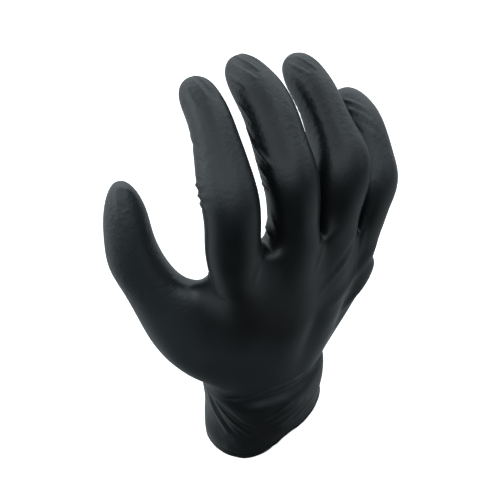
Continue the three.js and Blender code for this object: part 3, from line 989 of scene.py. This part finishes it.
LEFT_WALL = Wall((
    (-90, 0.02), (-72, 0.02), (-45, 0.12), (-22, 0.02), (0, 0.05), (14, 0.16),
    (24, 0.45), (33, 1.05), (45, 1.4), (56, 1.3), (68, 0.55), (90, 0.4),
))
RIGHT_WALL = Wall((
    (-90, 0.03), (-75, 0.06), (-62, 0.38), (-30, 0.34), (-15, 0.14), (0, 0.15), (14, 0.2),
    (24, 0.4), (33, 0.9), (45, 1.35), (56, 1.2), (68, 0.32), (90, 0.3),
))
BACK_WALL = Wall((
    (-90, 0.08), (-60, 0.35), (-40, 0.5), (-20, 0.7), (0, 0.85), (32, 1.6), (58, 1.0), (90, 0.45),
))


@dataclass(frozen=True)
class Lamp:
    """A soft rectangular lamp.

    Args:
        name: its name.
        place: its place in metres.
        aim: what it points at, in metres.
        size: its width and height in metres.
        glow: how bright its face is, where 1 is white.
    """

    name: str
    place: tuple[float, float, float]
    aim: tuple[float, float, float]
    size: tuple[float, float]
    glow: float

    def build(self, tint: tuple[float, float, float]) -> None:
        """Adds the lamp.

        Args:
            tint: the colour of its light.
        """
        data = bpy.data.lights.new(self.name, "AREA")
        data.shape = "RECTANGLE"
        data.size, data.size_y = self.size
        data.energy = self.glow * math.pi * self.size[0] * self.size[1]
        data.color = tint
        lamp = bpy.data.objects.new(self.name, data)
        lamp.location = self.place
        lamp.rotation_mode = "QUATERNION"
        lamp.rotation_quaternion = (Vector(self.aim) - Vector(self.place)).to_track_quat("-Z", "Y")
        bpy.context.scene.collection.objects.link(lamp)


LAMPS = (
    Lamp("overhead", (0.65, 0.85, 1.1), (0.65, 0.85, 0.0), (2.3, 2.6), 0.22),
    Lamp("right", (1.3, -0.2, 0.4), (0.0, 0.0, 0.1), (1.6, 0.8), 0.45),
    Lamp("left", (-1.3, 0.3, 0.6), (0.0, 0.0, 0.1), (1.6, 0.7), 0.8),
)


@dataclass(frozen=True)
class Studio:
    """A pale floor, soft lamps and the camera.

    Args:
        eye: the camera's place in millimetres.
        focus: what it looks at, in millimetres.
        roll: its turn about its own axis in degrees.
        focal: its focal length as a share of the picture's width.
        tint: the colour of its light, a little cool.
        floor_reach: half of the floor's side in metres.
        floor_drop: how far the floor is below the cuff's mouth, in millimetres.
    """

    eye: tuple[float, float, float] = (-87.0, -302.0, 479.0)
    focus: tuple[float, float, float] = (16.0, 12.0, 103.0)
    roll: float = -13.0
    focal: float = 2.22
    tint: tuple[float, float, float] = (0.9, 1.01, 1.06)
    floor_reach: float = 20.0
    floor_drop: float = 3.0

    def camera(self) -> None:
        """Adds the camera and makes it the scene's."""
        eye, focus = Vector(self.eye), Vector(self.focus)
        back = (eye - focus).normalized()
        right = Vector((0, 0, 1)).cross(back).normalized()
        up = back.cross(right)
        turn = math.radians(self.roll)
        rolled_right = right * math.cos(turn) + up * math.sin(turn)
        rolled_up = up * math.cos(turn) - right * math.sin(turn)
        axes = Matrix((rolled_right, rolled_up, back)).transposed().to_4x4()
        data = bpy.data.cameras.new("camera")
        data.sensor_width = 36
        data.lens = 36 * self.focal
        data.clip_start = 0.01
        data.clip_end = 20
        camera = bpy.data.objects.new("camera", data)
        camera.matrix_world = Matrix.Translation(eye * MM) @ axes
        bpy.context.scene.collection.objects.link(camera)
        bpy.context.scene.camera = camera

    def room(self) -> None:
        """Adds the room's light: dark in front and below, paler to the right, pale above and at the back."""
        world = bpy.data.worlds.new("room")
        world.use_nodes = True
        nodes, links = world.node_tree.nodes, world.node_tree.links
        coords = nodes.new("ShaderNodeTexCoord")
        split = nodes.new("ShaderNodeSeparateXYZ")
        links.new(coords.outputs["Generated"], split.inputs["Vector"])
        height = nodes.new("ShaderNodeMapRange")
        height.inputs["From Min"].default_value = -1.0
        links.new(split.outputs["Z"], height.inputs["Value"])
        walls = []
        for wall in (LEFT_WALL, RIGHT_WALL, BACK_WALL):
            ramp = self.ramp(nodes, wall)
            links.new(height.outputs["Result"], ramp.inputs["Fac"])
            walls.append(ramp.outputs["Color"])
        front = self.blend(world, split.outputs["X"], (-0.1, 0.45), walls[0], walls[1])
        whole = self.blend(world, split.outputs["Y"], (-0.15, 0.35), front, walls[2])
        links.new(whole, nodes["Background"].inputs["Color"])
        bpy.context.scene.world = world

    @staticmethod
    def blend(
        world: bpy.types.World, along: bpy.types.NodeSocket, span: tuple[float, float],
        first: bpy.types.NodeSocket, second: bpy.types.NodeSocket,
    ) -> bpy.types.NodeSocket:
        """Blends two walls' light along an axis.

        Args:
            world: the room.
            along: the direction's share along an axis.
            span: where on that axis the change begins and ends.
            first: the colour before the span.
            second: the colour after it.

        Returns:
            A colour that goes from one wall's to the other's.
        """
        nodes, links = world.node_tree.nodes, world.node_tree.links
        share = nodes.new("ShaderNodeMapRange")
        share.inputs["From Min"].default_value, share.inputs["From Max"].default_value = span
        links.new(along, share.inputs["Value"])
        mix = nodes.new("ShaderNodeMix")
        mix.data_type = "RGBA"
        links.new(share.outputs["Result"], mix.inputs["Factor"])
        ends = {socket.identifier: socket for socket in mix.inputs}
        links.new(first, ends["A_Color"])
        links.new(second, ends["B_Color"])
        return next(socket for socket in mix.outputs if socket.identifier == "Result_Color")

    def ramp(self, nodes: bpy.types.Nodes, wall: Wall) -> bpy.types.Node:
        """Adds a ramp of the room's light by height.

        Args:
            nodes: the room's nodes.
            wall: the side of the room.

        Returns:
            The ramp's node.
        """
        ramp = nodes.new("ShaderNodeValToRGB")
        elements = ramp.color_ramp.elements
        for _ in wall.stops[2:]:
            elements.new(0.5)
        for element, (elevation, glow) in zip(elements, wall.stops):
            element.position = 0.5 + 0.5 * math.sin(math.radians(elevation))
            element.color = (*(glow * c for c in self.tint), 1)
        return ramp

    def floor(self) -> None:
        """Adds the pale floor, just under the glove. The film doesn't mirror it."""
        mesh = bpy.data.meshes.new("floor")
        work = bmesh.new()
        bmesh.ops.create_grid(work, x_segments=1, y_segments=1, size=self.floor_reach)
        bmesh.ops.translate(work, verts=work.verts, vec=(0, 0, -self.floor_drop * MM))
        work.to_mesh(mesh)
        work.free()
        floor = bpy.data.objects.new("floor", mesh)
        floor.data.materials.append(PlainFinish("pale_floor", (0.9, 0.9, 0.9), 0.9, glow=0.75).build())
        floor.visible_glossy = False
        floor.visible_diffuse = False
        bpy.context.scene.collection.objects.link(floor)

    def build(self) -> None:
        """Adds the floor, the lamps, the room's light and the camera."""
        self.floor()
        for lamp in LAMPS:
            lamp.build(self.tint)
        self.room()
        self.camera()


def main() -> None:
    """Builds the glove and the studio."""
    for film in (Film(Skin.OUTER, NitrileFinish(), 2), Film(Skin.INNER, NitrileFinish(), 1)):
        piece = film.build()
        log.info("%s: %d faces", piece.name, len(piece.data.polygons))
    Studio().build()
    bpy.context.scene.view_settings.view_transform = "Standard"


if __name__ == "__main__":
    main()
